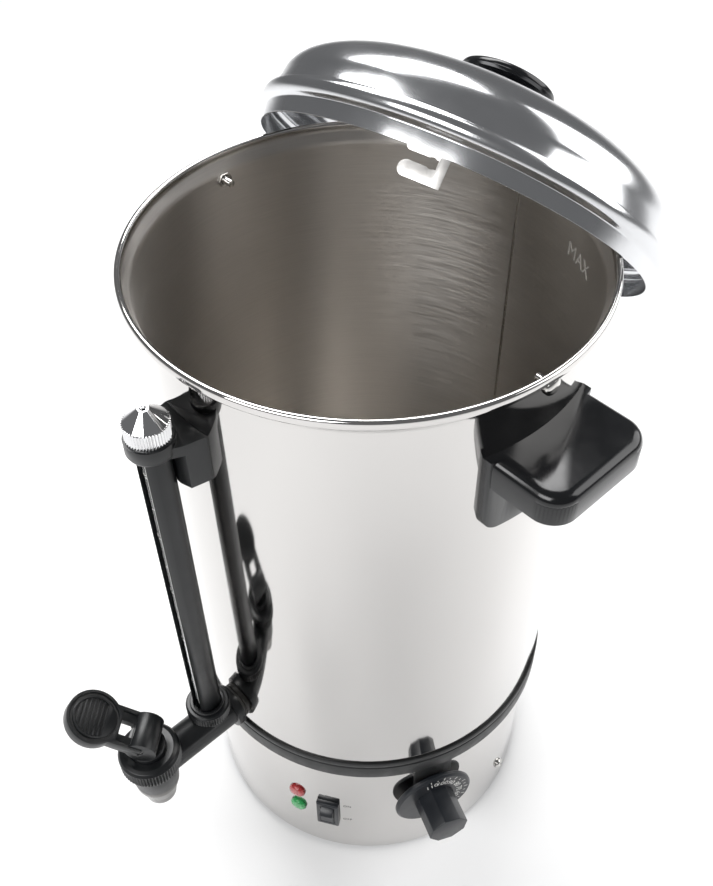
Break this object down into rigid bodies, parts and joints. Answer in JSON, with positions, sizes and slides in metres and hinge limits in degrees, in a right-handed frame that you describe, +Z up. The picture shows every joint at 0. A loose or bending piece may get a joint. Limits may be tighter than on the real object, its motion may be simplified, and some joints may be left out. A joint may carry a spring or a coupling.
{
  "type": "hot water urn",
  "caption": "Hot water urn: polished steel tank on a heated base, swivel-lever tap, glass sight gauge, two side handles, thermostat dial, rocker switch and lift-off domed lid.",
  "frame": {"origin": "on the surface that the feet stand on, under the tank's axis", "axes": "+Z up along the tank's axis, -Y towards the tap and the sight gauge, +X towards the handle beside the dial"},
  "size_m": [0.291, 0.3769, 0.4902],
  "materials": {
    "tank_steel": "stainless sheet, mirror polished outside and brushed round inside",
    "lid_steel": "stainless sheet, mirror polished",
    "base_steel": "stainless sheet, polished",
    "pan_steel": "zinc-plated sheet",
    "fastener_steel": "plated steel",
    "black_plastic": "moulded phenolic, satin gloss",
    "tap_plastic": "moulded nylon, fine grain",
    "trim_rubber": "extruded trim, satin",
    "foot_rubber": "moulded rubber",
    "seal_silicone": "translucent silicone",
    "heater_aluminium": "cast plate",
    "element_steel": "heat-tinted sheath",
    "brass": "turned",
    "ceramic": "ceramic",
    "lens_red": "clear red lens",
    "lens_green": "clear green lens",
    "gauge_glass": "drawn borosilicate tube",
    "cap_chrome": "turned and chromed brass",
    "spout_metal": "satin chromed"
  },
  "bodies": {
    "urn": {"tank": "tank_steel", "base_skirt": "base_steel", "base_pan": "pan_steel", "feet": "foot_rubber", "skirt_screws": "fastener_steel", "trim_ring": "trim_rubber", "heater_plate": "heater_aluminium", "heating_element": "element_steel", "thermal_cutout": "ceramic", "terminal_block": "ceramic", "cord_bush": "black_plastic", "thermostat_body": "pan_steel", "thermostat_nut": "brass", "switch_housing": "black_plastic", "lamp_red": "lens_red", "lamp_green": "lens_green", "lamp_holders": "tap_plastic", "handle_right": "black_plastic", "handle_left": "black_plastic", "handle_studs": "fastener_steel", "handle_nuts": "fastener_steel", "lid_lock_pins": "fastener_steel", "lid_lock_nuts": "fastener_steel", "tap_body": "tap_plastic", "tap_seal_outer": "seal_silicone", "tap_seal_inner": "seal_silicone", "tap_lock_nut": "tap_plastic", "tap_spout": "spout_metal", "tap_bonnet": "tap_plastic", "gauge_nut": "tap_plastic", "gauge_tube": "gauge_glass", "gauge_guard": "tap_plastic", "gauge_seals": "foot_rubber", "gauge_bracket": "tap_plastic", "gauge_cap": "cap_chrome"},
    "dial": {"dial": "black_plastic", "thermostat_shaft": "brass"},
    "rocker": {"switch_rocker": "black_plastic"},
    "tap_head": {"tap_saddle": "tap_plastic"},
    "stem": {"valve_stem": "fastener_steel", "valve_seat_cup": "seal_silicone", "valve_spring": "fastener_steel", "lever_pin": "fastener_steel"},
    "lever": {"tap_lever": "tap_plastic"},
    "lid": {"lid_shell": "lid_steel", "lid_brackets": "fastener_steel", "lid_knob": "black_plastic", "lid_knob_washer": "fastener_steel", "lid_knob_screw": "fastener_steel"}
  },
  "joints": [
    {"name": "dial_turn", "type": "hinge", "parent": "urn", "child": "dial", "pos_m": [0.10412, -0.04207, 0.073], "axis": [-0.9272, 0.3746, 0], "range_deg": [-90, 180]},
    {"name": "switch_rock", "type": "hinge", "parent": "urn", "child": "rocker", "pos_m": [0.0567, -0.089, 0.0523], "axis": [-0.8434, -0.5373, 0], "range_deg": [0, 28]},
    {"name": "tap_swivel", "type": "hinge", "parent": "urn", "child": "tap_head", "pos_m": [0, -0.17, 0.1615], "axis": [0, 0, 1], "range_deg": [-86, 183]},
    {"name": "stem_lift", "type": "slide", "parent": "tap_head", "child": "stem", "axis": [0, 0, 1], "range_m": [0, 0.003], "stiffness_N_per_m": 100, "springref_m": -0.003, "deforming": ["valve_spring"]},
    {"name": "lever_tilt", "type": "hinge", "parent": "stem", "child": "lever", "pos_m": [0, -0.17, 0.1747], "axis": [0.66, -0.7513, 0], "range_deg": [0, 30]},
    {"name": "lid_lift", "type": "slide", "parent": "urn", "child": "lid", "axis": [0, 0, 1], "range_m": [0, 0.2]}
  ],
  "couplings": [
    {"joint": "lever_tilt", "follows": "stem_lift", "rad_per_m": 174.53}
  ]
}
